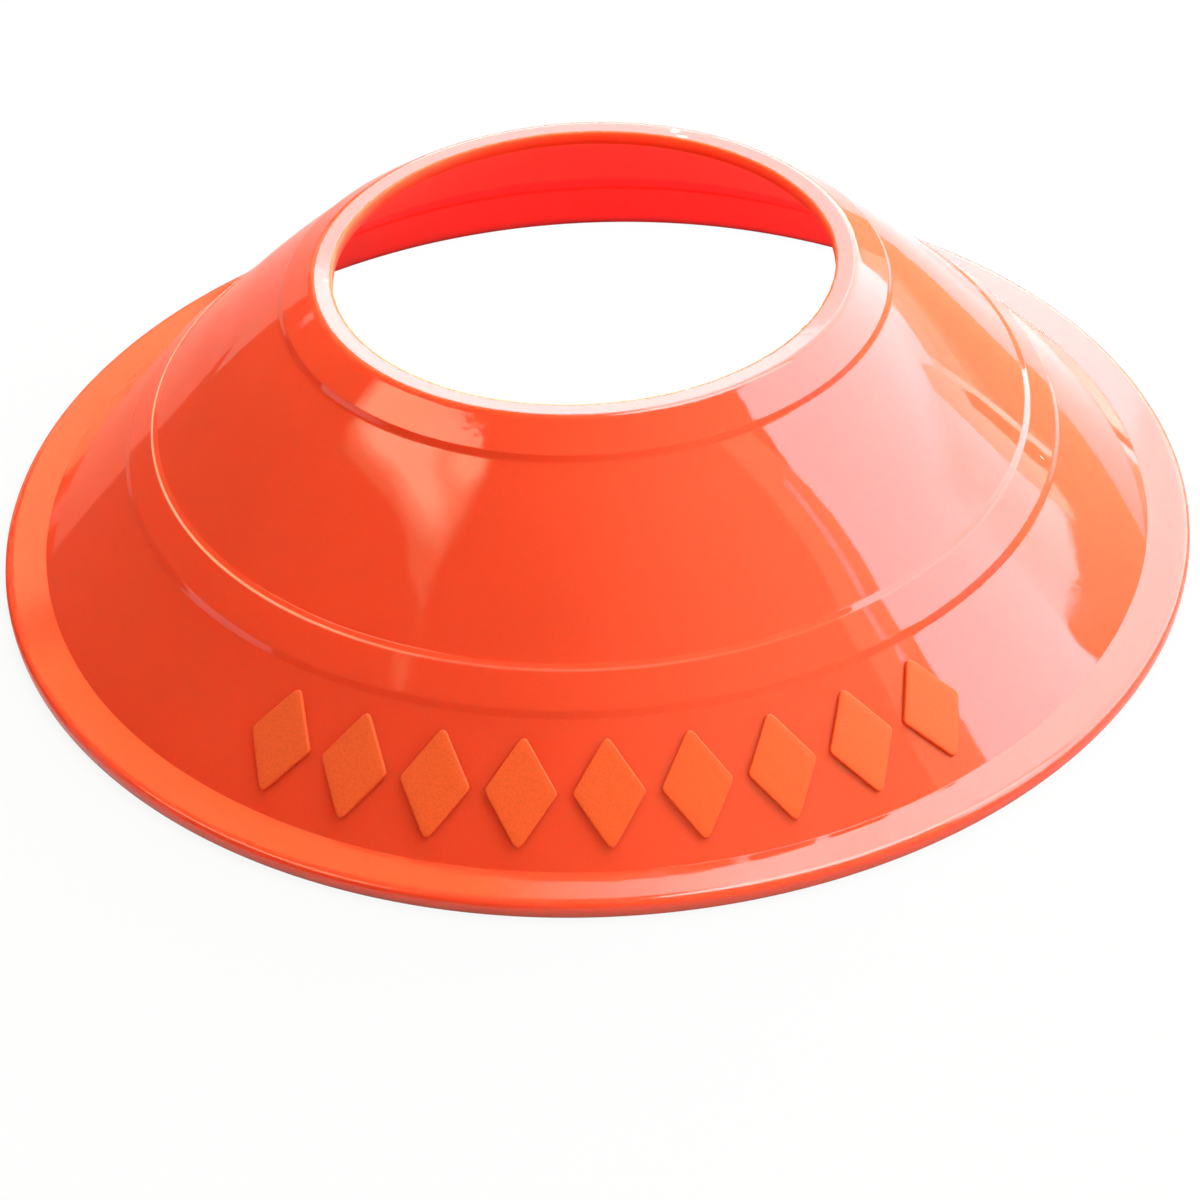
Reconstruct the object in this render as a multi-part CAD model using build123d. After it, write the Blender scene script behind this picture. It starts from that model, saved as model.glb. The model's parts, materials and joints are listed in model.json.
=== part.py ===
"""A low marker cone for sports pitches: one hollow plastic moulding with raised marks on its skirt.

The cone stands on the ground plane with its axis on +Z. The marks face -Y. Sizes are in millimetres.
"""

import math
import os

from build123d import *

# The ground rim, a flat ring around the foot of the skirt
BASE_DIAMETER = 190.0
RIM_WIDTH = 6.7
RIM_THICKNESS = 2.3

# The wall of the cone, from the rim up: lower skirt, belt, upper cone, collar and top land
WALL = 2.4
SKIRT_RUN = 15.0
SKIRT_RISE = 15.8
BELT_RISER = 0.4
BELT_RUN = 4.4
BELT_RISE = 4.5
BELT_LEDGE = 0.9
HEIGHT = 47.0
HOLE_DIAMETER = 77.0
LAND_WIDTH = 3.3
COLLAR_RUN = 5.0
COLLAR_RISE = 3.3
COLLAR_RISER = 0.9

# Rounded corners of the wall
RIM_EDGE_RADIUS = 1.0
FOOT_RADIUS = 0.8
STEP_RADIUS = 0.35
LEDGE_RADIUS = 0.5
SHOULDER_RADIUS = 1.8
LIP_RADIUS = 0.4

# The raised marks, a row of lozenges along the lower skirt
MARK_COUNT = 9
MARK_LENGTH = 16.5
MARK_WIDTH = 10.4
MARK_GAP = 2.0
MARK_CORNER_RADIUS = 0.9
MARK_RELIEF = 0.6

# The most of an edge that a rounded corner takes, so that two of them fit on the edge between
ROUNDED_SHARE = 0.45

base_radius = BASE_DIAMETER / 2
hole_radius = HOLE_DIAMETER / 2


def outer_corners():
    """Return the outer face's corners from the skirt's foot to the shoulder, as (radius, height)."""
    foot = (base_radius - RIM_WIDTH, RIM_THICKNESS)
    belt_foot = (foot[0] - SKIRT_RUN, foot[1] + SKIRT_RISE)
    belt_edge = (belt_foot[0], belt_foot[1] + BELT_RISER)
    ledge_edge = (belt_edge[0] - BELT_RUN, belt_edge[1] + BELT_RISE)
    ledge_root = (ledge_edge[0] - BELT_LEDGE, ledge_edge[1])
    shoulder = (hole_radius + LAND_WIDTH, HEIGHT)
    collar_edge = (shoulder[0] + COLLAR_RUN, shoulder[1] - COLLAR_RISE)
    collar_root = (collar_edge[0], collar_edge[1] - COLLAR_RISER)
    return [foot, belt_foot, belt_edge, ledge_edge, ledge_root, collar_root, collar_edge, shoulder]


def meet(line, other):
    """Return the point where two lines meet, each given by two points."""
    (ax, ay), (bx, by) = line
    (cx, cy), (dx, dy) = other
    ux, uy = bx - ax, by - ay
    vx, vy = dx - cx, dy - cy
    along = ((cx - ax) * vy - (cy - ay) * vx) / (ux * vy - uy * vx)
    return (ax + along * ux, ay + along * uy)


def inward(start, end, depth):
    """Return the line from start to end, moved into the wall by depth."""
    run, rise = end[0] - start[0], end[1] - start[1]
    length = math.hypot(run, rise)
    shift = (-rise / length * depth, run / length * depth)
    return [(x + shift[0], y + shift[1]) for x, y in (start, end)]


def inner_corners(outer):
    """Return the inner face's corners, one wall inside the outer face, from the lip to the ground."""
    lip_top = (hole_radius, HEIGHT)
    ends = outer + [lip_top]
    ground = [(0, 0), (base_radius, 0)]
    hole_wall = [(hole_radius, 0), lip_top]
    lines = [ground] + [inward(a, b, WALL) for a, b in zip(ends, ends[1:])] + [hole_wall]
    corners = [meet(a, b) for a, b in zip(lines, lines[1:])]
    return corners[::-1]


def fitted_radii(corners, wanted):
    """Return the wanted radii of a closed outline, each limited by the shorter edge at its corner."""
    radii = []
    for i, corner in enumerate(corners):
        before = Vector(corner) - Vector(corners[i - 1])
        after = Vector(corners[(i + 1) % len(corners)]) - Vector(corner)
        half_turn = math.radians(before.get_angle(after) / 2)
        room = ROUNDED_SHARE * min(before.length, after.length)
        radii.append(min(wanted[i], room / math.tan(half_turn)))
    return radii


def make_shell():
    """Revolve the wall's section, with its rim and its rounded corners."""
    outer = outer_corners()
    inner = inner_corners(outer)
    rim = [(base_radius, 0), (base_radius, RIM_THICKNESS)]
    lip_top = [(hole_radius, HEIGHT)]
    outer_radii = [FOOT_RADIUS, STEP_RADIUS, STEP_RADIUS, LEDGE_RADIUS, LEDGE_RADIUS]
    outer_radii += [STEP_RADIUS, STEP_RADIUS, SHOULDER_RADIUS]
    inner_radii = [LIP_RADIUS, LIP_RADIUS] + [STEP_RADIUS] * (len(inner) - 3) + [0]
    wanted = [0, RIM_EDGE_RADIUS] + outer_radii + [LIP_RADIUS] + inner_radii
    corners = [(x, 0, z) for x, z in rim + outer + lip_top + inner]
    radii = fitted_radii(corners, wanted)
    section = make_face(FilletPolyline(*corners, radius=radii, close=True))
    return revolve(section, Axis.Z)


def make_marks():
    """Cut a row of lozenges from a thin layer that lies on the lower skirt."""
    foot, top = outer_corners()[:2]
    raised = inward(foot, top, -MARK_RELIEF)
    corners = [(x, 0, z) for x, z in [foot, top] + raised[::-1]]
    layer = revolve(make_face(Polyline(*corners, close=True)), Axis.Z)

    middle = Vector((foot[0] + top[0]) / 2, 0, (foot[1] + top[1]) / 2)
    outward = Vector(SKIRT_RISE, 0, SKIRT_RUN)
    tangent = Plane(origin=middle, x_dir=(0, 1, 0), z_dir=outward)
    half_length, half_width = MARK_LENGTH / 2, MARK_WIDTH / 2
    points = [(half_width, 0), (0, half_length), (-half_width, 0), (0, -half_length)]
    radii = fitted_radii(points, [MARK_CORNER_RADIUS] * len(points))
    outline = make_face(FilletPolyline(*points, radius=radii, close=True))
    cutter = extrude(tangent * outline, amount=MARK_WIDTH, both=True)

    pitch = math.degrees((MARK_WIDTH + MARK_GAP) / middle.X)
    first = -90 - pitch * (MARK_COUNT - 1) / 2
    marks = [layer & (Rot(0, 0, first + pitch * i) * cutter) for i in range(MARK_COUNT)]
    return Compound(children=[solid for mark in marks for solid in mark.solids()])


os.makedirs("parts", exist_ok=True)
export_step(make_shell(), "parts/cone_shell.step")
export_step(make_marks(), "parts/raised_marks.step")
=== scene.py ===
"""Dress a low moulded marker cone and set it on a pale studio floor.

Every size is in metres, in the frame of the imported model: the cone stands on z = 0 with its axis on Z,
and its raised marks face -Y. Angles round the axis start at the front and grow to the right.
"""
import json
import math
from collections import namedtuple

import bpy
from bpy.props import FloatProperty, FloatVectorProperty, IntProperty, PointerProperty
from mathutils import Euler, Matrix, Quaternion, Vector, noise


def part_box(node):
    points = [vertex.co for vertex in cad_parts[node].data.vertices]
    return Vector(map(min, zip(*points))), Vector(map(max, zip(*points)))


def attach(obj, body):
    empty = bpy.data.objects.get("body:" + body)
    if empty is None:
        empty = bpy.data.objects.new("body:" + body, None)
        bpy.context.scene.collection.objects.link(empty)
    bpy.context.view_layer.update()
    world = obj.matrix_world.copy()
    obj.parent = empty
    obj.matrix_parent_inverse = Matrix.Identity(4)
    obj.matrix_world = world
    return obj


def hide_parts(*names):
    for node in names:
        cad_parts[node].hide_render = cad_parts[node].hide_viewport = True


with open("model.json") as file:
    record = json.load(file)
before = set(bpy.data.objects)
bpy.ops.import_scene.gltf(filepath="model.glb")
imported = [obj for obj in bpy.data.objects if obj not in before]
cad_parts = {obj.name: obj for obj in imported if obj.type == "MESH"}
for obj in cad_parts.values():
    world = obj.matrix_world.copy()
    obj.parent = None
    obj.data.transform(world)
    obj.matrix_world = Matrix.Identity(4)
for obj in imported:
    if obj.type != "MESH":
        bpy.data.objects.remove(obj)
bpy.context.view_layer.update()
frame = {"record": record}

bl_info = {
    "name": "Marker cone",
    "version": (1, 0, 0),
    "blender": (4, 5, 0),
    "location": "3D View > Sidebar > Cone",
    "description": "Builds a moulded marker cone with raised marks, and a studio to show it in",
    "category": "Object",
}

MM = 0.001

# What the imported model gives: the cone's box and its top hole
SHELL_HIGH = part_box("cone_shell")[1]
TOP_HOLE = next(mount for mount in frame["record"]["mounts"] if mount["name"] == "top_hole")
HOLE_RADIUS = TOP_HOLE["dims"]["r_mm"] * MM

Corner = namedtuple("Corner", "radius height rounding bow inner", defaults=(0.0, False))
OuterFace = namedtuple(
    "OuterFace", "foot crease_low crease_high ledge_edge ledge_root collar_root collar_edge shoulder")
Wave = namedtuple("Wave", "share lobes phase twist")
Grain = namedtuple("Grain", "cells detail roughness", defaults=(2.0, 0.5))
Scuff = namedtuple("Scuff", "turn radius height half_length half_width")
Panel = namedtuple("Panel", "name aim distance radiance tint corners soft peak", defaults=(0.0, 1.0))
Card = namedtuple("Card", "name radiance tint lift rays")

# The most of an edge that a rounding takes up, and how many supports long an edge is before it gets them
ROUNDED_SHARE = 0.6
SUPPORTED_LENGTH = 4

# Small roundings where the rim stands on the ground, outside and inside
RIM_GROUND_ROUNDING = 0.2 * MM
INNER_GROUND_ROUNDING = 0.15 * MM

# How the soft wall strays from a true round, in waves that twist as they go up
WALL_WAVES = (Wave(0.5, 2, 0.6, 0), Wave(0.3, 5, 0, 60), Wave(0.2, 9, 1.9, 0))

# How the plastic takes light: how it bends it, how far it spreads it, and how much the dull faces mirror
PLASTIC_IOR = 1.5
GLOW_SPREAD = (1.0, 0.16, 0.06)
CORE_SPECULAR, MARK_SPECULAR = 0.05, 0.3

# The grains of the finishes: cells to the metre, octaves of detail, and how rough these are
DRIFT = Grain(22.0, 3.0)
FLECK = Grain(2400.0, 2.0, 0.7)
SMEAR = Grain(45.0, 4.0, 0.6)
PEEL = Grain(900.0, 1.0)
RIPPLE = Grain(260.0, 1.0)
RAGGED = Grain(1800.0)
CORE_DRIFT = Grain(30.0, 3.0)
STIPPLE = Grain(1600.0, 1.0)
SPECK = Grain(3000.0, 2.0, 0.7)

# Between which levels of its grain each of these grows from nothing to its full strength
DRIFT_GROWTH = (0.35, 0.7)
FLECK_GROWTH = (0.3, 0.7)
SMEAR_GROWTH = (0.48, 0.75)
SPECK_GROWTH = (0.3, 0.6)

# How deep the deepest colour of each finish is, as a share of its full colour
SHELL_DEEP, CORE_DEEP, MARK_DEEP = 0.9, 0.93, 0.86

# The share of drift in the colour's change, beside flecks, and of peel in the relief, beside ripple
DRIFT_SHARE = 0.6
PEEL_SHARE = 0.5

# How much rougher smears, the drift inside and the marks' specks make a face
SMEAR_ROUGHER, DRIFT_ROUGHER, SPECK_ROUGHER = 0.03, 0.1, 0.12

# How deep the relief of each finish is
PEEL_DEPTH = 0.006 * MM
STIPPLE_DEPTH = 0.02 * MM
SPECK_DEPTH = 0.05 * MM


def length_setting(name, default, description):
    """Declare a length that can't fall below 0."""
    return FloatProperty(name=name, description=description, default=default, min=0, unit="LENGTH")


def share_setting(name, default, description):
    """Declare a share from 0 to 1."""
    return FloatProperty(
        name=name, description=description, default=default, min=0, max=1, subtype="FACTOR")


def colour_setting(name, default, description):
    """Declare a colour."""
    return FloatVectorProperty(
        name=name, description=description, default=default, min=0, max=1, subtype="COLOR")


class ConeSizes(bpy.types.PropertyGroup):
    """Sizes of the moulded shell."""

    rim_width: length_setting("Rim width", 6.7 * MM, "Flat rim outside the skirt's foot")
    rim_thickness: length_setting("Rim thickness", 2.3 * MM, "Thickness of the flat rim")
    wall: length_setting("Wall", 2.4 * MM, "Thickness of the moulded wall")
    skirt_run: length_setting("Skirt run", 15.0 * MM, "How far the lower skirt leans in")
    skirt_rise: length_setting("Skirt rise", 15.8 * MM, "How far the lower skirt climbs")
    belt_riser: length_setting("Belt riser", 0.4 * MM, "Small upright step under the belt")
    belt_run: length_setting("Belt run", 4.4 * MM, "How far the belt leans in")
    belt_rise: length_setting("Belt rise", 4.5 * MM, "How far the belt climbs")
    belt_ledge: length_setting("Belt ledge", 0.9 * MM, "Flat ledge on top of the belt")
    ledge_lean: length_setting(
        "Ledge lean", 0.45 * MM, "How much higher the ledge is at its root than at its edge")
    cone_bow: FloatProperty(
        name="Cone bow", description="How far the upper cone swells past a straight line",
        default=0.5 * MM, unit="LENGTH")
    bow_skew: share_setting(
        "Bow skew", 0.4, "How much more the swelling turns near the collar than near the belt")
    collar_riser: length_setting("Collar riser", 0.9 * MM, "Small steep step under the collar")
    riser_lean: length_setting("Riser lean", 0.5 * MM, "How far the step under the collar leans in")
    collar_run: length_setting("Collar run", 5.0 * MM, "How far the collar leans in")
    collar_rise: length_setting("Collar rise", 3.3 * MM, "How far the collar climbs")
    land_width: length_setting("Land width", 3.3 * MM, "Flat ring round the top hole")
    rim_rounding: length_setting("Rim rounding", 1.5 * MM, "Rounding of the rim's outer edge")
    foot_rounding: length_setting(
        "Foot rounding", 0.15 * MM, "Hollow rounding where the skirt meets the rim")
    crease_spread: length_setting(
        "Crease spread", 0.42 * MM, "How far the soft crease under the belt spreads up and down the wall")
    crease_rounding: length_setting(
        "Crease rounding", 1.6 * MM, "Rounding of the soft crease under the belt")
    ledge_rounding: length_setting("Ledge rounding", 0.5 * MM, "Rounding of the ledge's outer edge")
    root_rounding: length_setting(
        "Root rounding", 0.6 * MM, "Hollow rounding at the foot of the upper cone")
    neck_rounding: length_setting("Neck rounding", 1.3 * MM, "Hollow rounding under the collar")
    collar_rounding: length_setting("Collar rounding", 0.4 * MM, "Rounding of the collar's lower edge")
    shoulder_rounding: length_setting(
        "Shoulder rounding", 1.8 * MM, "Rounding between the collar and the land")
    lip_rounding: length_setting("Lip rounding", 0.4 * MM, "Rounding of the hole's upper edge")
    inner_rounding: length_setting("Inner rounding", 1.0 * MM, "Rounding of the corners inside the wall")
    waviness: length_setting("Waviness", 0.05 * MM, "How far the soft wall strays from a true round")
    trim_burr: length_setting("Trim burr", 0.3 * MM, "Ragged flash left where the hole was trimmed")


class MarkSizes(bpy.types.PropertyGroup):
    """Sizes of the raised marks on the lower skirt."""

    count: IntProperty(name="Marks", description="Lozenges in the row", default=9, min=1)
    length: length_setting("Length", 16.5 * MM, "Lozenge's size up the skirt")
    width: length_setting("Width", 10.4 * MM, "Lozenge's size round the skirt")
    gap: length_setting("Gap", 2.0 * MM, "Gap between the widest points of two lozenges")
    corner: length_setting("Corner", 0.9 * MM, "Rounding of a lozenge's corners")
    relief: length_setting("Relief", 0.6 * MM, "How far a lozenge stands out of the skirt")
    edge: length_setting("Edge", 0.22 * MM, "Rounding of a lozenge's upper edge")


class PlasticLook(bpy.types.PropertyGroup):
    """Colours and gloss of the moulded plastic."""

    shell_colour: colour_setting("Shell colour", (0.88, 0.088, 0.033), "Glossy orange of the shell")
    mark_colour: colour_setting("Mark colour", (0.93, 0.108, 0.019), "Matte orange of the marks")
    # Painted glow: the inner face's colour is a redder copy of the shell's, for red light that comes
    # through the wall
    core_glow_colour: colour_setting(
        "Core colour", (1.0, 0.045, 0.024), "Deeper orange of the dull inner face")
    # Painted shade: a deeper red band on the inner face behind the belt, where less light glows through the
    # thicker wall
    belt_shade_colour: colour_setting(
        "Thick colour", (1.0, 0.016, 0.016), "Deeper red of the inner face behind the belt")
    # Brighter orange towards the top of the hole's wall, over the inner face's deeper red
    hole_top_colour: colour_setting(
        "Trim colour", (1.0, 0.15, 0.075), "Brighter orange of the hole's trimmed edge")
    scuff_colour: colour_setting(
        "Scuff colour", (1.0, 0.66, 0.52), "Pale plastic where the surface is rubbed")
    # Colour of the painted highlight, a pale line along the ledge's edge
    ledge_highlight_colour: colour_setting(
        "Edge colour", (1.0, 0.68, 0.45), "Paler orange along the rubbed edge of the ledge")
    gloss_roughness: share_setting("Gloss roughness", 0.04, "Roughness of the polished shell")
    core_roughness: share_setting(
        "Core roughness", 0.65, "Roughness of the inner face, which the mould's core leaves unpolished")
    matte_roughness: share_setting("Matte roughness", 0.55, "Roughness of the marks' grained tops")
    glow: share_setting("Glow", 1.0, "Share of light that scatters inside the plastic")
    glow_depth: length_setting(
        "Glow depth", 3.0 * MM, "How deep red light travels under the polished face")
    core_depth: length_setting(
        "Core depth", 16.0 * MM, "How deep red light travels behind the dull inner face")


class StudioLook(bpy.types.PropertyGroup):
    """The floor, the room's light and the camera."""

    floor_colour: colour_setting("Floor colour", (0.45, 0.45, 0.45), "Pale floor under the cone")
    hollow_colour: colour_setting(
        "Hollow colour", (0.95, 0.95, 0.95), "Paler floor inside the cone, which lights the hollow")
    floor_white: share_setting("Floor white", 0.9, "Share of plain white seen in the open floor")
    hollow_white: share_setting(
        "Hollow white", 1.0, "Share of plain white seen in the floor inside the cone")
    bright_tint: colour_setting(
        "Bright tint", (1.0, 0.97, 0.5), "Colour of the room's light on the window's side")
    dim_tint: colour_setting(
        "Dim tint", (1.0, 0.97, 0.8), "Colour of the room's light on the side away from the window")
    bright_room: FloatProperty(
        name="Bright room", description="Brightness of the room on the window's side",
        default=1.0, min=0)
    dim_room: FloatProperty(
        name="Dim room", description="Brightness of the room on the side away from the window",
        default=0.07, min=0)
    camera_place: FloatVectorProperty(
        name="Camera place", description="Where the camera stands",
        default=(0.0, -0.398, 0.2973), subtype="XYZ", unit="LENGTH")
    camera_tilt: FloatProperty(
        name="Camera tilt", description="How far the camera looks down",
        default=math.radians(38.53), subtype="ANGLE")
    camera_roll: FloatProperty(
        name="Camera roll", description="How far the camera leans to its right",
        default=math.radians(2.8), subtype="ANGLE")
    camera_lens: FloatProperty(
        name="Camera lens", description="Focal length in millimetres on a 36 mm sensor",
        default=91.8, min=1)


class ConeSettings(bpy.types.PropertyGroup):
    """Everything that a user can change."""

    sizes: PointerProperty(type=ConeSizes)
    marks: PointerProperty(type=MarkSizes)
    look: PointerProperty(type=PlasticLook)
    studio: PointerProperty(type=StudioLook)


class Shade:
    """A shader socket that Python operators combine through Math nodes."""

    def __init__(self, tree, socket):
        self.tree = tree
        self.socket = socket

    def math(self, operation, *values):
        """Add a Math node on the given values or sockets."""
        return node(self.tree, "ShaderNodeMath", {"operation": operation}, dict(enumerate(values)))["Value"]

    def __add__(self, other):
        return self.math("ADD", self, other)

    def __radd__(self, other):
        return self.math("ADD", other, self)

    def __sub__(self, other):
        return self.math("SUBTRACT", self, other)

    def __rsub__(self, other):
        return self.math("SUBTRACT", other, self)

    def __mul__(self, other):
        return self.math("MULTIPLY", self, other)

    def __rmul__(self, other):
        return self.math("MULTIPLY", other, self)

    def band(self, low, high):
        """Return 0 below low, 1 above high and a smooth step between."""
        settings = {"interpolation_type": "SMOOTHSTEP"}
        values = {"Value": self, "From Min": low, "From Max": high}
        return node(self.tree, "ShaderNodeMapRange", settings, values)["Result"]


def node(tree, kind, settings, values):
    """Add a node, set it up, fill or link its inputs and return its outputs by name."""
    made = tree.nodes.new(kind)
    for name, value in settings.items():
        setattr(made, name, value)
    for key, value in values.items():
        if isinstance(value, Shade):
            tree.links.new(value.socket, made.inputs[key])
        else:
            made.inputs[key].default_value = value
    return {out.name: Shade(tree, out) for out in made.outputs if out.enabled}


def mixed(tree, factor, first, second):
    """Mix two colours by a factor."""
    values = {"Factor": factor, "A": first, "B": second}
    made = tree.nodes.new("ShaderNodeMix")
    made.data_type = "RGBA"
    for socket in made.inputs:
        if socket.enabled and socket.name in values:
            value = values[socket.name]
            if isinstance(value, Shade):
                tree.links.new(value.socket, socket)
            else:
                socket.default_value = value
    return Shade(tree, next(out for out in made.outputs if out.enabled))


def grain(tree, place, kind):
    """Return noise of the given kind over the surface, from 0 to 1."""
    values = {"Vector": place, "Scale": kind.cells, "Detail": kind.detail, "Roughness": kind.roughness}
    return node(tree, "ShaderNodeTexNoise", {"noise_dimensions": "3D"}, values)["Fac"]


def seen(tree):
    """Return 1 for rays that see a surface, straight, in a mirror or through glass, and 0 for its light."""
    path = node(tree, "ShaderNodeLightPath", {}, {})
    either = path["Is Camera Ray"].math("MAXIMUM", path["Is Camera Ray"], path["Is Glossy Ray"])
    return either.math("MAXIMUM", either, path["Is Transmission Ray"])


def new_material(name):
    """Return an empty node material with its tree and the output node."""
    material = bpy.data.materials.new(name)
    material.use_nodes = True
    tree = material.node_tree
    tree.nodes.clear()
    return material, tree, tree.nodes.new("ShaderNodeOutputMaterial")


def plastic(name, colour, look, constants, paint):
    """Make a plastic whose colour, roughness and bump come from paint(tree, place, colour)."""
    material, tree, output = new_material(name)
    place = node(tree, "ShaderNodeTexCoord", {}, {})["Object"]
    base, rough, height, depth = paint(tree, place, colour)
    bump = node(tree, "ShaderNodeBump", {}, {"Height": height, "Distance": depth})["Normal"]
    values = {
        "Base Color": base,
        "Roughness": rough,
        "Normal": bump,
        "Subsurface Weight": look.glow,
        "Subsurface Radius": GLOW_SPREAD,
        "Subsurface Scale": look.glow_depth,
        "IOR": PLASTIC_IOR,
    }
    surface = node(tree, "ShaderNodeBsdfPrincipled", {}, {**values, **constants})
    tree.links.new(surface["BSDF"].socket, output.inputs["Surface"])
    return material


# Small marks on the polished face: marks of use, a nick in the far land with its tail, a chip at the hole,
# a rub on the belt and a speck on the upper cone, and a thin pale line at the belt's foot
SCUFFS = (
    Scuff(math.radians(157), 40.6 * MM, 47.0 * MM, 1.1 * MM, 0.8 * MM),
    Scuff(math.radians(154.5), 39.4 * MM, 46.9 * MM, 1.4 * MM, 0.5 * MM),
    Scuff(math.radians(-86), 39.4 * MM, 47.0 * MM, 0.8 * MM, 0.35 * MM),
    Scuff(math.radians(73.5), 71.6 * MM, 20.2 * MM, 0.2 * MM, 0.7 * MM),
    # A thin pale line at the belt's foot
    Scuff(math.radians(-54), 73.6 * MM, 18.2 * MM, 3.2 * MM, 0.1 * MM),
    Scuff(math.radians(-66), 64.0 * MM, 27.0 * MM, 0.3 * MM, 0.2 * MM),
)
# How ragged a scuff's outline is, and where it fades out, both as shares of its half size
SCUFF_RAGGED = 0.9
SCUFF_FADE = (0.9, 1.3)
# How far a scuff's colour covers the orange, and how much it dulls the gloss
SCUFF_COVER = 0.65
SCUFF_DULL = 0.4
# The painted highlight along the ledge's edge, a pale line in place of the gloss's thin highlight there:
# where it fades out across the edge, how much of it shows at the far left, and how much it loses over two
# stretches from left to right
LEDGE_HIGHLIGHT_FADE = (0.12 * MM, 0.3 * MM)
LEDGE_HIGHLIGHT_COVER = 0.7
LEDGE_HIGHLIGHT_LOSSES = ((-62 * MM, -20 * MM, 0.57), (0.0, 30 * MM, 0.1))
# How far up and down the painted shade behind the belt fades out, and how much of it shows: a deeper red
# band where less light glows through the thicker wall
BELT_SHADE_FADE = (1.7 * MM, 3.4 * MM)
BELT_SHADE_COVER = 0.9
# Where the brighter orange at the top of the hole's wall fades into the inner face, as distances below the
# top
HOLE_TOP_FADE = (0.2 * MM, 2.2 * MM)


def solid(colour, share=1.0):
    """Return a colour with an alpha of 1, darkened to a share."""
    return tuple(channel * share for channel in colour) + (1,)


def worn(tree, place):
    """Return where the surface is scuffed, from 0 to 1."""
    ragged = grain(tree, place, RAGGED) * SCUFF_RAGGED
    total = 0.0
    for scuff in SCUFFS:
        centre = (scuff.radius * math.sin(scuff.turn), -scuff.radius * math.cos(scuff.turn), scuff.height)
        values = {
            "Vector": place,
            "Location": centre,
            "Rotation": (0, 0, scuff.turn),
            "Scale": (scuff.half_length, scuff.half_width, scuff.half_width),
        }
        local = node(tree, "ShaderNodeMapping", {"vector_type": "TEXTURE"}, values)["Vector"]
        away = node(tree, "ShaderNodeVectorMath", {"operation": "LENGTH"}, {0: local})["Value"]
        total = (1 - (away + ragged).band(*SCUFF_FADE)) + total
    return total.math("MINIMUM", total, 1.0)


def painted_ledge_highlight(tree, place, edge):
    """Return where a painted highlight lies along the edge of the ledge, from 0 to 1, most on the left."""
    across = node(tree, "ShaderNodeSeparateXYZ", {}, {0: place})
    x, y, z = (across[axis] for axis in "XYZ")
    radius = x.math("SQRT", x * x + y * y)
    out, up = radius - edge.radius, z - edge.height
    away = x.math("SQRT", out * out + up * up)
    cover = LEDGE_HIGHLIGHT_COVER
    for start, end, loss in LEDGE_HIGHLIGHT_LOSSES:
        cover = cover - x.band(start, end) * loss
    return (1 - away.band(*LEDGE_HIGHLIGHT_FADE)) * cover


def glossy_plastic(look, edge):
    """Polished polyethylene: faint colour drift, handling smears, scuffs, a painted highlight along the
    ledge's edge and a soft orange peel.
    """
    def paint(tree, place, colour):
        drift = grain(tree, place, DRIFT).band(*DRIFT_GROWTH)
        fleck = grain(tree, place, FLECK).band(*FLECK_GROWTH)
        pale = drift * DRIFT_SHARE + fleck * (1 - DRIFT_SHARE)
        base = mixed(tree, pale, solid(colour, SHELL_DEEP), solid(colour))
        rubbed = worn(tree, place) * SCUFF_COVER
        base = mixed(tree, rubbed, base, solid(look.scuff_colour))
        # Painted highlight: a pale line along the ledge's edge, strongest on the left
        base = mixed(tree, painted_ledge_highlight(tree, place, edge), base, solid(look.ledge_highlight_colour))
        smear = grain(tree, place, SMEAR).band(*SMEAR_GROWTH)
        rough = look.gloss_roughness + smear * SMEAR_ROUGHER + rubbed * SCUFF_DULL
        relief = grain(tree, place, PEEL) * PEEL_SHARE + grain(tree, place, RIPPLE) * (1 - PEEL_SHARE)
        return base, rough, relief, PEEL_DEPTH
    return plastic("glossy_orange", look.shell_colour, look, {}, paint)


def core_plastic(look, belt_back):
    """The inner face, dull from the mould's core: a redder copy of the shell's colour for a painted red
    glow, with painted shade behind the belt and brighter orange towards the top of the hole.
    """
    def paint(tree, place, colour):
        height = node(tree, "ShaderNodeSeparateXYZ", {}, {0: place})["Z"]
        off_belt = height - belt_back
        # Painted shade: a deeper red band behind the belt
        inner_shade = 1 - off_belt.math("ABSOLUTE", off_belt).band(*BELT_SHADE_FADE)
        below_hole_top = (SHELL_HIGH.z - height).band(*HOLE_TOP_FADE)
        drift = grain(tree, place, CORE_DRIFT)
        base = mixed(tree, drift.band(*DRIFT_GROWTH), solid(colour, CORE_DEEP), solid(colour))
        base = mixed(tree, inner_shade * BELT_SHADE_COVER, base, solid(look.belt_shade_colour))
        # Brighter orange towards the top of the hole's wall
        base = mixed(tree, below_hole_top, solid(look.hole_top_colour), base)
        stipple = grain(tree, place, STIPPLE)
        return base, look.core_roughness + drift * DRIFT_ROUGHER, stipple, STIPPLE_DEPTH
    constants = {"Specular IOR Level": CORE_SPECULAR, "Subsurface Scale": look.core_depth}
    return plastic("core_orange", look.core_glow_colour, look, constants, paint)


def matte_plastic(look):
    """The marks' tops, with the fine grain that an etched mould leaves."""
    def paint(tree, place, colour):
        speck = grain(tree, place, SPECK)
        base = mixed(tree, speck.band(*SPECK_GROWTH), solid(colour, MARK_DEEP), solid(colour))
        return base, look.matte_roughness + speck * SPECK_ROUGHER, speck, SPECK_DEPTH
    constants = {"Specular IOR Level": MARK_SPECULAR, "Subsurface Weight": 0.0}
    return plastic("matte_orange", look.mark_colour, look, constants, paint)


def meet(line, other):
    """Return the point where two lines meet, each given by two points."""
    (ax, ay), (bx, by) = line
    (cx, cy), (dx, dy) = other
    ux, uy = bx - ax, by - ay
    vx, vy = dx - cx, dy - cy
    along = ((cx - ax) * vy - (cy - ay) * vx) / (ux * vy - uy * vx)
    return (ax + along * ux, ay + along * uy)


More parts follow.
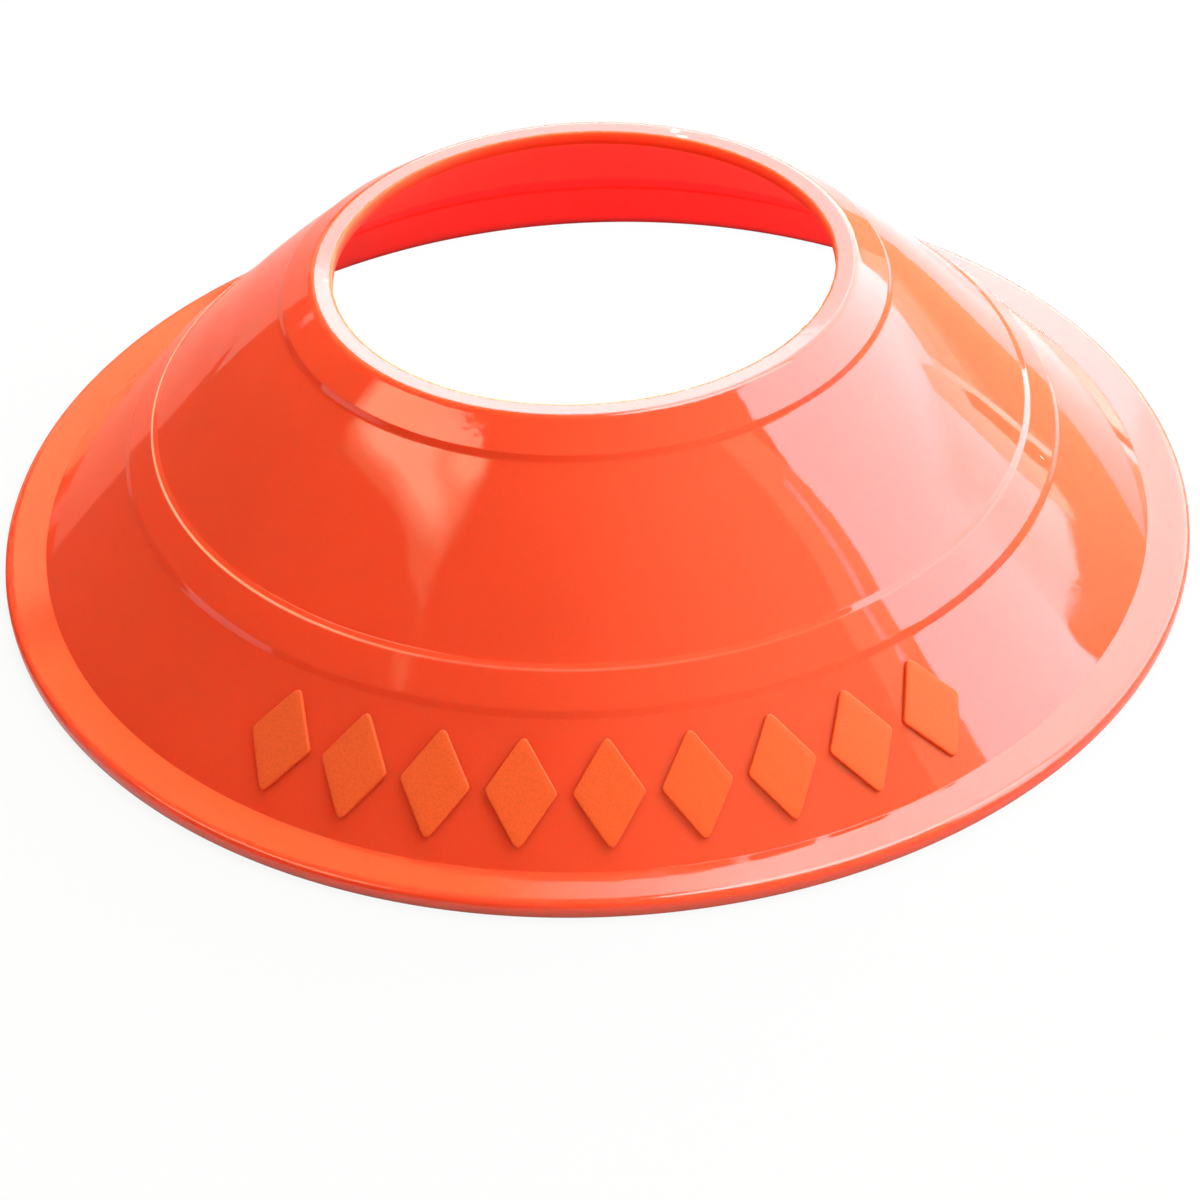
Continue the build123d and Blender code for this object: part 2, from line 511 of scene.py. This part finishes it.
def inward(start, end, depth):
    """Return the line from start to end, moved into the wall by depth."""
    run, rise = end[0] - start[0], end[1] - start[1]
    length = math.hypot(run, rise)
    shift = (-rise / length * depth, run / length * depth)
    return [(x + shift[0], y + shift[1]) for x, y in (start, end)]


def skirt_ends(sizes):
    """Return the lower and upper end of the straight skirt, as (radius, height)."""
    foot = (SHELL_HIGH.x - sizes.rim_width, sizes.rim_thickness)
    return foot, (foot[0] - sizes.skirt_run, foot[1] + sizes.skirt_rise)


def toward(start, end, distance):
    """Return the point at a distance from start on the line to end."""
    share = distance / math.dist(start, end)
    return (start[0] + (end[0] - start[0]) * share, start[1] + (end[1] - start[1]) * share)


def outer_corners(sizes):
    """Return the outer face's corners from the skirt's foot to the shoulder."""
    foot, belt_foot = skirt_ends(sizes)
    belt_edge = (belt_foot[0], belt_foot[1] + sizes.belt_riser)
    ledge_edge = (belt_edge[0] - sizes.belt_run, belt_edge[1] + sizes.belt_rise - sizes.ledge_lean / 2)
    crease_low = toward(belt_foot, foot, sizes.crease_spread)
    crease_high = toward(belt_edge, ledge_edge, sizes.crease_spread)
    ledge_root = (ledge_edge[0] - sizes.belt_ledge, ledge_edge[1] + sizes.ledge_lean)
    shoulder = (HOLE_RADIUS + sizes.land_width, SHELL_HIGH.z)
    collar_edge = (shoulder[0] + sizes.collar_run - sizes.riser_lean / 2, shoulder[1] - sizes.collar_rise)
    collar_root = (collar_edge[0] + sizes.riser_lean, collar_edge[1] - sizes.collar_riser)
    return OuterFace(
        Corner(*foot, sizes.foot_rounding),
        Corner(*crease_low, sizes.crease_rounding),
        Corner(*crease_high, sizes.crease_rounding),
        Corner(*ledge_edge, sizes.ledge_rounding),
        Corner(*ledge_root, sizes.root_rounding, sizes.cone_bow),
        Corner(*collar_root, sizes.neck_rounding),
        Corner(*collar_edge, sizes.collar_rounding),
        Corner(*shoulder, sizes.shoulder_rounding),
    )


def wall_section(sizes):
    """Return the closed section of the shell, up the outer face, over the lip and down the inner face."""
    outer = outer_corners(sizes)
    lip_top = (HOLE_RADIUS, SHELL_HIGH.z)
    ends = [corner[:2] for corner in outer] + [lip_top]
    ground = [(0, 0), (SHELL_HIGH.x, 0)]
    hole_wall = [(HOLE_RADIUS, 0), lip_top]
    lines = [ground] + [inward(a, b, sizes.wall) for a, b in zip(ends, ends[1:])] + [hole_wall]
    places = [meet(a, b) for a, b in zip(lines, lines[1:])][::-1]
    inner = [Corner(*place, sizes.inner_rounding, inner=True) for place in places]
    inner[0] = inner[0]._replace(rounding=sizes.lip_rounding)
    inner[-1] = inner[-1]._replace(rounding=INNER_GROUND_ROUNDING)
    rim = [
        Corner(SHELL_HIGH.x, 0, RIM_GROUND_ROUNDING),
        Corner(SHELL_HIGH.x, sizes.rim_thickness, sizes.rim_rounding),
    ]
    return rim + list(outer) + [Corner(*lip_top, sizes.lip_rounding, inner=True)] + inner


def rounded(section, arc_steps, run_step, support, skew=0.0):
    """Return each point of a closed section, its corners rounded and its runs divided, with its corner."""
    count = len(section)
    arcs = []
    for i, corner in enumerate(section):
        here = Vector(corner[:2])
        before = here - Vector(section[i - 1][:2])
        after = Vector(section[(i + 1) % count][:2]) - here
        turn = before.angle(after)
        room = ROUNDED_SHARE * min(before.length, after.length)
        reach = min(corner.rounding * math.tan(turn / 2), room)
        start, end = here - before.normalized() * reach, here + after.normalized() * reach
        arc = []
        for step in range(arc_steps + 1):
            share = step / arc_steps
            arc.append((1 - share) ** 2 * start + 2 * share * (1 - share) * here + share ** 2 * end)
        arcs.append(arc)
    points = []
    for i, corner in enumerate(section):
        stretch = list(arcs[i])
        start, end = arcs[i][-1], arcs[(i + 1) % count][0]
        run = end - start
        outward = Vector((run.y, -run.x)).normalized()
        steps = max(1, round(run.length / run_step))
        shares = [step / steps for step in range(1, steps)]
        if run.length > SUPPORTED_LENGTH * support:
            shares = [support / run.length] + shares + [1 - support / run.length]
        for share in shares:
            swell = corner.bow * 4 * share * (1 - share) * (1 + skew * (2 * share - 1))
            stretch.append(start + run * share + outward * swell)
        points += [(point, corner) for point in stretch]
    return points


def wall_stray(turn, height):
    """Return how far the soft wall strays from a true round, from about -1 to 1."""
    stray = 0.0
    for wave in WALL_WAVES:
        stray += wave.share * math.sin(wave.lobes * turn + wave.phase + wave.twist * height)
    return stray


def bearing(across, up):
    """Return the direction at an angle to the right of +Y and an angle up, in degrees."""
    across, up = math.radians(across), math.radians(up)
    return Vector((math.sin(across) * math.cos(up), math.cos(across) * math.cos(up), math.sin(up)))


def build_mesh(name, points, faces, material):
    """Make a smooth mesh object from points and faces."""
    mesh = bpy.data.meshes.new(name)
    mesh.from_pydata(points, [], faces)
    mesh.validate()
    mesh.shade_smooth()
    mesh.materials.append(material)
    piece = bpy.data.objects.new(name, mesh)
    bpy.context.scene.collection.objects.link(piece)
    return piece


def settle(piece, cad_node):
    """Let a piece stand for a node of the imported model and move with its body."""
    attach(piece, "root")
    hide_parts(cad_node)


class CONE_OT_shell(bpy.types.Operator):
    """Turn the wall's section round the axis, with the small faults of a soft moulding"""

    bl_idname = "marker_cone.shell"
    bl_label = "Build cone shell"
    TURNS = 400
    ARC_STEPS = 5
    RUN_STEP = 3.0 * MM
    SUPPORT = 0.15 * MM
    BELT_BACK_DROP = 0.8 * MM
    BURR_CELL = 1.6 * MM
    BURR_FROM, BURR_TO = math.radians(35), math.radians(80)
    BURR_LEAST = 0.15
    BURR_ZONE = 0.1 * MM

    def burr(self, sizes, turn):
        """Return how far the trimmed edge reaches into the hole at one place round it."""
        place = Vector((math.cos(turn), math.sin(turn), 0)) * HOLE_RADIUS / self.BURR_CELL
        middle, half = (self.BURR_FROM + self.BURR_TO) / 2, (self.BURR_TO - self.BURR_FROM) / 2
        ragged = max(0.0, 1 - ((turn - middle) / half) ** 2)
        strength = self.BURR_LEAST + (1 - self.BURR_LEAST) * ragged
        return sizes.trim_burr * max(0.0, noise.noise(place)) * strength

    def execute(self, context):
        settings = context.scene.marker_cone
        sizes = settings.sizes
        outer = outer_corners(sizes)
        belt_middle = (outer.crease_low.height + outer.ledge_root.height) / 2
        section = rounded(wall_section(sizes), self.ARC_STEPS, self.RUN_STEP, self.SUPPORT, sizes.bow_skew)
        points = []
        for step in range(self.TURNS):
            turn = math.tau * step / self.TURNS - math.pi
            burr = self.burr(sizes, turn)
            for (radius, height), _ in section:
                level = height / SHELL_HIGH.z
                spread = radius - sizes.waviness * (1 + wall_stray(turn, height)) * level
                if radius < HOLE_RADIUS + self.BURR_ZONE:
                    spread -= burr
                points.append((spread * math.sin(turn), -spread * math.cos(turn), height))
        across = len(section)
        faces = []
        for step in range(self.TURNS):
            here, there = step * across, (step + 1) % self.TURNS * across
            for i in range(across):
                j = (i + 1) % across
                faces.append((there + i, there + j, here + j, here + i))
        polished = glossy_plastic(settings.look, outer.ledge_edge)
        shell = build_mesh("cone_shell_moulding", points, faces, polished)
        shell.data.materials.append(core_plastic(settings.look, belt_middle - self.BELT_BACK_DROP))
        for face in shell.data.polygons:
            face.material_index = int(section[face.index % across][1].inner)
        settle(shell, "cone_shell")
        return {"FINISHED"}


class CONE_OT_marks(bpy.types.Operator):
    """Lay a row of rounded lozenges on the lower skirt"""

    bl_idname = "marker_cone.marks"
    bl_label = "Build raised marks"
    CORNER_STEPS = 5
    SIDE_STEPS = 6
    EDGE_STEPS = 4
    RINGS = (0.8, 0.6, 0.4, 0.2)
    SUPPORT = 0.15 * MM
    SUNK = 0.15 * MM

    def outline(self, marks):
        """Return a lozenge's outline with rounded corners."""
        half_width, half_length = marks.width / 2, marks.length / 2
        tips = [(half_width, 0), (0, half_length), (-half_width, 0), (0, -half_length)]
        section = [Corner(*tip, marks.corner) for tip in tips]
        side_step = math.hypot(half_width, half_length) / self.SIDE_STEPS
        return [point for point, _ in rounded(section, self.CORNER_STEPS, side_step, self.SUPPORT)]

    def levels(self, marks):
        """Return (inset, height) of each ring of a lozenge, from its foot over the edge to the top."""
        rings = [(0.0, -self.SUNK), (0.0, marks.relief - marks.edge)]
        for step in range(1, self.EDGE_STEPS + 1):
            lean = math.pi / 2 * step / self.EDGE_STEPS
            inset = marks.edge * (1 - math.cos(lean))
            rings.append((inset, marks.relief - marks.edge * (1 - math.sin(lean))))
        return rings

    def execute(self, context):
        settings = context.scene.marker_cone
        marks = settings.marks
        foot, top = skirt_ends(settings.sizes)
        run, rise = foot[0] - top[0], top[1] - foot[1]
        slope = math.hypot(run, rise)
        middle = ((foot[0] + top[0]) / 2, (foot[1] + top[1]) / 2)
        pitch = (marks.width + marks.gap) / middle[0]

        def on_skirt(turn, across, up, height):
            """Return the point of a lozenge at the given place on the skirt and height above it."""
            radius = middle[0] - up * run / slope
            turn += across / radius
            radius += height * rise / slope
            level = middle[1] + up * rise / slope + height * run / slope
            return (radius * math.sin(turn), -radius * math.cos(turn), level)

        outline = self.outline(marks)
        size = len(outline)
        narrow = marks.width * marks.length / math.hypot(marks.width, marks.length)
        points, faces = [], []
        for i in range(marks.count):
            turn = pitch * (i - (marks.count - 1) / 2)
            first = len(points)
            rings = [(1 - 2 * inset / narrow, height) for inset, height in self.levels(marks)]
            scale, height = rings[-1]
            rings += [(scale * share, height) for share in self.RINGS]
            for scale, height in rings:
                points += [on_skirt(turn, x * scale, y * scale, height) for x, y in outline]
            points.append(on_skirt(turn, 0, 0, height))
            points.append(on_skirt(turn, 0, 0, -self.SUNK))
            crown, root = len(points) - 2, len(points) - 1
            last = first + (len(rings) - 1) * size
            for j in range(size):
                k = (j + 1) % size
                for ring in range(len(rings) - 1):
                    low, high = first + ring * size, first + (ring + 1) * size
                    faces.append((low + j, low + k, high + k, high + j))
                faces.append((last + j, last + k, crown))
                faces.append((first + k, first + j, root))
        piece = build_mesh("raised_marks_moulding", points, faces, matte_plastic(settings.look))
        settle(piece, "raised_marks")
        return {"FINISHED"}


class CONE_OT_stage(bpy.types.Operator):
    """Set up the pale floor, the soft lamps, the room and the camera"""

    bl_idname = "marker_cone.stage"
    bl_label = "Set the stage"
    FLOOR_RADIUS = 12.0
    FLOOR_SIDES = 96
    FLOOR_DROP = 0.05 * MM
    HOLLOW_FROM, HOLLOW_TO = 84 * MM, 94 * MM
    MIDDLE = Vector((0, 0, 25 * MM))
    BOARD_TURNS = (0, 90, 180, 270)
    BOARD_DISTANCE, BOARD_HALF, BOARD_TOP, BOARD_FOOT = 3.4, 14, 12, -1
    BOARD_COLOUR = (0.8, 0.8, 0.8, 1)
    WHITE = (1, 1, 1, 1)
    # Where the room's light grows from the dim side to the bright one, along the X of a direction
    ROOM_GROWTH = (-0.4, 0.7)
    SENSOR_WIDTH = 36
    CLIP_START, CLIP_END = 0.01, 100
    # Soft panels round the cone: where each one faces from, how far off it hangs, and its corners, all as
    # bearings from the cone's middle: degrees to the right of +Y, and degrees up
    PANELS = (
        Panel("window_right", (72, 0), 3.0, 8.4, (0.85, 0.88, 1.0), (
            (35, 8.6), (38, 11.2), (40, 12.2), (50.6, 11.8), (53.6, 11.8), (53.4, 8.6), (55.6, 9),
            (56, 4.2), (60, 6.2), (68, 10.2), (76, 14.6), (77.2, 14.9), (77, 14.2), (76.2, 13.3),
            (104, 22), (104.3, 45), (91, 59), (62, 60), (40, 30), (34, 12))),
        Panel("window_shade", (65, 0), 2.95, 1.15, (1.0, 0.97, 0.5), (
            (36, 12), (44, 16), (58, 18), (70, 20), (80, 23), (84, 2), (60, -6), (40, -6)), 0.5, 0.3),
        Panel("window_blind", (57, 0), 2.9, 3.8, (1.0, 0.97, 0.82), (
            (53.4, 8.6), (53.8, 12), (55, 15), (59.3, 15.2), (60.4, 9), (59.5, 5.5), (57.4, 4.5),
            (54.6, 4.2), (55.2, 5.8), (55.6, 9))),
        Panel("window_post", (52, 0), 2.85, 4.3, (1.0, 0.97, 0.86), (
            (50.4, 2.8), (51.9, 3.4), (52.5, 6.3), (53.5, 8.6), (53.8, 12), (51.6, 12), (52, 10),
            (51.5, 7))),
        Panel("window_side", (44, 0), 2.9, 1.6, (1.0, 0.97, 0.62), (
            (32, 3.2), (40, 3.4), (50.7, 3.2), (51.6, 7), (52, 10), (51.6, 12), (44, 12.2), (38, 11.2),
            (33, 9))),
        Panel("window_sill", (44, 0), 2.88, 2.3, (1.0, 0.97, 0.7), (
            (33, 5.4), (51.2, 5.2), (51.6, 7), (52, 10), (51.6, 12), (44, 12.2), (38, 11.2),
            (33.5, 9))),
        Panel("window_rail", (44, 0), 2.86, 2.9, (1.0, 0.97, 0.74), (
            (36, 9.2), (51.9, 9), (51.6, 12), (44, 12.2), (38, 11.2))),
        Panel("window_frame", (110, 0), 3.1, 2.05, (1.0, 0.97, 0.53), (
            (104, 22), (114.5, 26), (116, 62), (104, 62))),
        Panel("window_gap", (109, 0), 3.0, 4.2, (0.85, 0.88, 1.0), (
            (107.6, 30), (109, 30), (109, 46), (107.6, 46))),
        Panel("wall_right", (50, 0), 4.0, 1.15, (1.0, 0.97, 0.5), (
            (24, -1), (79, -1), (79, 17), (24, 17))),
        Panel("wall_end", (20, 0), 3.9, 2.6, (0.96, 0.97, 1.0), (
            (11, -1), (23.5, -1), (23.5, 7), (11, 7))),
        Panel("wall_left", (-30, 0), 3.2, 0.65, (1.0, 1.0, 0.82), (
            (-41, -1), (-20, -1), (-20, 13), (-38.5, 13))),
        Panel("wall_glint", (-45, 18), 3.0, 2.2, (1.0, 0.9, 0.75), (
            (-45.9, 19.2), (-44, 17.3), (-43.6, 17.7), (-45.5, 19.7))),
        Panel("back_fill", (0, 16), 3.0, 8.0, (1.0, 0.97, 0.94), (
            (-8, 9), (22, 9), (36, 17), (40, 25.5), (-8, 25.5))),
        Panel("back_corner", (-14, 34), 3.1, 1.85, (1.0, 0.76, 0.34), (
            (-30, 17), (-8.2, 17), (-8.2, 29), (-10.5, 33), (-12, 36.9), (-18, 37), (-19, 29))),
        Panel("back_left", (-18, 42), 3.0, 1.05, (1.0, 0.88, 0.18), (
            (-36, 37), (-6, 37.2), (1.5, 47.3), (-32, 48))),
        Panel("back_low", (0, 31), 3.0, 6.0, (0.9, 0.92, 1.0), (
            (-8.5, 26), (8, 26), (8, 34.4), (5, 34), (-5, 32.5), (-8.5, 32))),
        Panel("back_middle", (0, 34), 3.0, 10.4, (0.9, 0.92, 1.0), (
            (-8.5, 32), (-5, 32.5), (5, 34), (8, 34.4), (8, 37), (-6, 37))),
        Panel("back_high", (4, 42), 3.0, 6.4, (0.9, 0.92, 1.0), (
            (-4, 37), (8, 37), (8, 47.5), (4.6, 47.4), (4.4, 41))),
        Panel("back_fade", (4, 42), 2.95, 6.4, (0.94, 0.94, 0.96), (
            (-3.8, 40), (13, 40), (13, 49), (-3.8, 49)), 0.95),
        Panel("back_side", (11, 36), 3.0, 9.6, (0.88, 0.91, 1.0), (
            (8, 26), (14, 26), (14.5, 37), (8, 37))),
        Panel("back_right", (24, 36), 3.0, 7.3, (0.92, 0.93, 1.0), (
            (14, 26), (44, 26), (62, 40), (62, 48), (8, 47.5), (8, 37), (14.5, 37))),
        Panel("skylight", (33, 60), 3.0, 11.0, (1.0, 1.0, 1.0), ((5, 49), (62, 49), (62, 72), (5, 72))),
        Panel("lamp_halo", (-100, 90), 2.7, 1.4, (1.0, 0.8, 0.4), (
            (-130, 60), (-129, 50), (-129, 42.3), (-121, 42.3), (-116, 44), (-105, 43.5), (-95, 41),
            (-84, 37.3), (-78, 37), (-77, 42), (-90, 50.5), (-104, 58), (-120, 64), (-128, 65)), 0.12),
        Panel("lamp_core", (-100, 90), 2.6, 4.4, (1.0, 0.8, 0.47), (
            (-77, 37.5), (-86, 40), (-92, 42), (-98, 44), (-104, 44.6), (-112, 44.8), (-122, 45),
            (-129.5, 46.5), (-131.5, 52), (-131, 58), (-128, 63), (-120, 66), (-104, 60), (-90, 52),
            (-77, 43)), 0.4),
        Panel("lamp_heart", (-100, 90), 2.55, 6.8, (1.0, 0.83, 0.54), (
            (-80, 39.4), (-86, 41.4), (-92, 43.8), (-100, 46.4), (-112, 47.2), (-122, 47.6),
            (-127, 49.5), (-122, 52.4), (-112, 53.4), (-106, 57), (-96, 55), (-86, 48),
            (-79, 42)), 0.4),
        Panel("lamp_lobe", (-100, 90), 2.5, 6.2, (1.0, 0.82, 0.5), (
            (-129, 58), (-124, 54.5), (-112, 54.2), (-109.5, 57), (-116, 61), (-127, 63)), 0.5),
        Panel("lamp_high", (-95, 90), 2.45, 6.2, (1.0, 0.82, 0.55), (
            (-85, 47), (-85, 52.1), (-88.3, 54.2), (-97, 59), (-105, 62.05), (-110, 63.8),
            (-114.3, 65.1), (-113.6, 64.7), (-115.5, 65.15), (-116, 63), (-104, 58), (-90, 50)), 0.03),
        Panel("lamp_tail", (-95, 90), 2.4, 6.2, (1.0, 0.82, 0.5), (
            (-71, 40), (-72, 46), (-79, 53), (-90, 59), (-97, 59.2), (-96, 54), (-88, 46.5),
            (-78, 39.5)), 0.45),
    )
    # Where cards on the floor start and end, the dark one farther out, and how far they lie above it
    NEAR, FAR = 97 * MM, 3.0
    DARK_NEAR, DARK_FAR = 98 * MM, 11.5
    CARD_LIFT, UPPER_LIFT = 0.3 * MM, 0.5 * MM
    # Cards on the floor that only the gloss shows, dim on the left and lit by the window on the right: each
    # has rays as degrees to the right of +Y, where the card starts and ends, and how much of it shows there
    CARDS = (
        Card("table_left", 0.9, (1.0, 0.34, 0.2), CARD_LIFT, (
            (8, NEAR, FAR, 0), (0, NEAR, FAR, 0.25), (-14, NEAR, FAR, 0.46), (-25, NEAR, FAR, 0.54),
            (-35, NEAR, FAR, 0.68), (-42, NEAR, FAR, 0.82), (-60, NEAR, FAR, 0.93), (-95, NEAR, FAR, 1),
            (-130, NEAR, FAR, 0))),
        Card("table_dark", 0.3, (1.0, 0.3, 0.24), UPPER_LIFT, (
            (-38, 1.74, DARK_FAR, 1), (-64, 170 * MM, DARK_FAR, 1), (-90, DARK_NEAR, DARK_FAR, 1),
            (-115, DARK_NEAR, DARK_FAR, 1), (-130, DARK_NEAR, DARK_FAR, 0))),
        Card("table_right", 1.8, (0.94, 0.95, 1.0), CARD_LIFT, (
            (8, NEAR, 1.03, 0), (14, NEAR, 1.03, 0.8), (60, NEAR, 0.168, 1), (85, NEAR, 0.154, 0.9),
            (100, NEAR, 0.15, 0))),
        Card("table_warm", 1.0, (1.0, 0.97, 0.5), CARD_LIFT, (
            (16, 0.88, FAR, 0), (22, 0.53, FAR, 1), (60, 0.168, FAR, 1), (85, 0.154, FAR, 1),
            (100, 0.15, FAR, 0))),
        Card("table_shade", 1.25, (0.97, 0.98, 1.0), UPPER_LIFT, (
            (34, NEAR, 0.12, 0), (39, NEAR, 0.128, 1), (46, NEAR, 0.122, 1), (51, NEAR, 0.114, 1),
            (58, NEAR, 0.104, 0))),
    )

    def floor(self, studio):
        """Lay a wide round floor that keeps the cone's shadow and shows white through the top hole."""
        ring = [math.tau * i / self.FLOOR_SIDES for i in range(self.FLOOR_SIDES)]
        around = [(self.FLOOR_RADIUS * math.cos(turn), self.FLOOR_RADIUS * math.sin(turn)) for turn in ring]
        points = [(x, y, -self.FLOOR_DROP) for x, y in around]
        material, tree, output = new_material("pale_floor")
        place = node(tree, "ShaderNodeTexCoord", {}, {})["Object"]
        off = node(tree, "ShaderNodeVectorMath", {"operation": "LENGTH"}, {0: place})["Value"]
        inside = 1 - off.band(self.HOLLOW_FROM, self.HOLLOW_TO)
        share = seen(tree) * (studio.floor_white + inside * (studio.hollow_white - studio.floor_white))
        colours = [solid(studio.floor_colour), solid(studio.hollow_colour)]
        mattes = [node(tree, "ShaderNodeBsdfDiffuse", {}, {"Color": colour})["BSDF"] for colour in colours]
        matte = node(tree, "ShaderNodeMixShader", {}, {0: inside, 1: mattes[0], 2: mattes[1]})["Shader"]
        white = node(tree, "ShaderNodeEmission", {}, {"Color": self.WHITE, "Strength": 1.0})["Emission"]
        surface = node(tree, "ShaderNodeMixShader", {}, {0: share, 1: matte, 2: white})["Shader"]
        tree.links.new(surface.socket, output.inputs["Surface"])
        floor = build_mesh("studio_floor", points, [tuple(range(self.FLOOR_SIDES))], material)

    def panel(self, panel):
        """Hang one flat panel of soft light, its corners where their bearings meet its plane."""
        axis = bearing(*panel.aim)
        corners = [bearing(*corner) for corner in panel.corners]
        points = [self.MIDDLE + corner * (panel.distance / corner.dot(axis)) for corner in corners]
        count = len(points)
        centre = sum(points, Vector()) / count
        points += [point.lerp(centre, panel.soft) for point in points]
        faces = [tuple(range(count, 2 * count))]
        if panel.soft:
            faces += [(i, (i + 1) % count, count + (i + 1) % count, count + i) for i in range(count)]
        levels = [0.0] * count + [panel.peak] * count
        self.glow(panel, points, faces, levels)

    def card(self, card):
        """Lay one flat card on the floor, from the rim's edge outward."""
        points, faces, levels = [], [], []
        for turn, near, far, level in card.rays:
            points += [bearing(turn, 0) * reach + Vector((0, 0, card.lift)) for reach in (near, far)]
            levels += [level, level]
        for i in range(0, len(points) - 2, 2):
            faces.append((i, i + 1, i + 3, i + 2))
        piece = self.glow(card, points, faces, levels)
        piece.visible_diffuse = False
        piece.visible_shadow = False

    def glow(self, lamp, points, faces, levels):
        """Make a panel or card of even light that fades out where its level falls to 0."""
        material, tree, output = new_material(lamp.name)
        values = {"Color": solid(lamp.tint), "Strength": lamp.radiance}
        light = node(tree, "ShaderNodeEmission", {}, values)["Emission"]
        clear = node(tree, "ShaderNodeBsdfTransparent", {}, {})["BSDF"]
        level = node(tree, "ShaderNodeAttribute", {"attribute_name": "level"}, {})["Fac"]
        surface = node(tree, "ShaderNodeMixShader", {}, {0: level, 1: clear, 2: light})["Shader"]
        tree.links.new(surface.socket, output.inputs["Surface"])
        piece = build_mesh(lamp.name, points, faces, material)
        piece.data.attributes.new("level", "FLOAT", "POINT").data.foreach_set("value", levels)
        piece.visible_camera = False
        return piece

    def board(self, turn):
        """Stand one pale board behind the cone, for views along the floor."""
        left, right = turn - self.BOARD_HALF, turn + self.BOARD_HALF
        low, high = self.BOARD_FOOT, self.BOARD_TOP
        corners = [(left, low), (right, low), (right, high), (left, high)]
        points = [self.MIDDLE + bearing(*corner) * self.BOARD_DISTANCE for corner in corners]
        material, tree, output = new_material("pale_board")
        white = node(tree, "ShaderNodeEmission", {}, {"Color": self.WHITE, "Strength": 1.0})["Emission"]
        matte = node(tree, "ShaderNodeBsdfDiffuse", {}, {"Color": self.BOARD_COLOUR})["BSDF"]
        surface = node(tree, "ShaderNodeMixShader", {}, {0: seen(tree), 1: matte, 2: white})["Shader"]
        tree.links.new(surface.socket, output.inputs["Surface"])
        build_mesh("studio_board", points, [tuple(range(len(points)))], material)

    def room(self, studio):
        """Fill the room with soft light that falls off away from the window."""
        world = bpy.data.worlds.new("studio_room")
        world.use_nodes = True
        tree = world.node_tree
        direction = node(tree, "ShaderNodeTexCoord", {}, {})["Generated"]
        side = node(tree, "ShaderNodeSeparateXYZ", {}, {0: direction})["X"].band(*self.ROOM_GROWTH)
        sides = ((studio.dim_tint, studio.dim_room), (studio.bright_tint, studio.bright_room))
        lights = []
        for tint, strength in sides:
            values = {"Color": solid(tint), "Strength": strength}
            lights.append(node(tree, "ShaderNodeBackground", {}, values)["Background"])
        room = node(tree, "ShaderNodeMixShader", {}, {0: side, 1: lights[0], 2: lights[1]})["Shader"]
        tree.links.new(room.socket, tree.nodes["World Output"].inputs["Surface"])
        bpy.context.scene.world = world

    def camera(self, studio):
        """Stand the camera where the cone was looked at from."""
        lens = bpy.data.cameras.new("camera")
        lens.sensor_width = self.SENSOR_WIDTH
        lens.lens = studio.camera_lens
        lens.clip_start, lens.clip_end = self.CLIP_START, self.CLIP_END
        camera = bpy.data.objects.new("camera", lens)
        camera.location = studio.camera_place
        camera.rotation_mode = "QUATERNION"
        aim = Euler((math.pi / 2 - studio.camera_tilt, 0, 0)).to_quaternion()
        camera.rotation_quaternion = aim @ Quaternion((0, 0, 1), -studio.camera_roll)
        bpy.context.scene.collection.objects.link(camera)
        bpy.context.scene.camera = camera

    def execute(self, context):
        studio = context.scene.marker_cone.studio
        self.floor(studio)
        for panel in self.PANELS:
            self.panel(panel)
        for card in self.CARDS:
            self.card(card)
        for turn in self.BOARD_TURNS:
            self.board(turn)
        self.room(studio)
        self.camera(studio)
        context.scene.view_settings.view_transform = "Standard"
        return {"FINISHED"}


class CONE_PT_panel(bpy.types.Panel):
    """The cone's sizes, looks and builders"""

    bl_idname = "CONE_PT_panel"
    bl_label = "Marker cone"
    bl_space_type = "VIEW_3D"
    bl_region_type = "UI"
    bl_category = "Cone"

    def draw(self, context):
        settings = context.scene.marker_cone
        for operator in OPERATORS:
            self.layout.operator(operator.bl_idname)
        for group in (settings.sizes, settings.marks, settings.look, settings.studio):
            box = self.layout.box()
            for name in group.bl_rna.properties.keys():
                if name not in ("rna_type", "name"):
                    box.prop(group, name)


OPERATORS = (CONE_OT_shell, CONE_OT_marks, CONE_OT_stage)
CLASSES = (ConeSizes, MarkSizes, PlasticLook, StudioLook, ConeSettings) + OPERATORS + (CONE_PT_panel,)


def register():
    """Add the classes and the settings to Blender."""
    for cls in CLASSES:
        bpy.utils.register_class(cls)
    bpy.types.Scene.marker_cone = PointerProperty(type=ConeSettings)


def unregister():
    """Take the settings and the classes out again."""
    del bpy.types.Scene.marker_cone
    for cls in reversed(CLASSES):
        bpy.utils.unregister_class(cls)


def main():
    """Build the cone and its stage."""
    register()
    bpy.ops.marker_cone.shell()
    bpy.ops.marker_cone.marks()
    bpy.ops.marker_cone.stage()


if __name__ == "__main__":
    main()
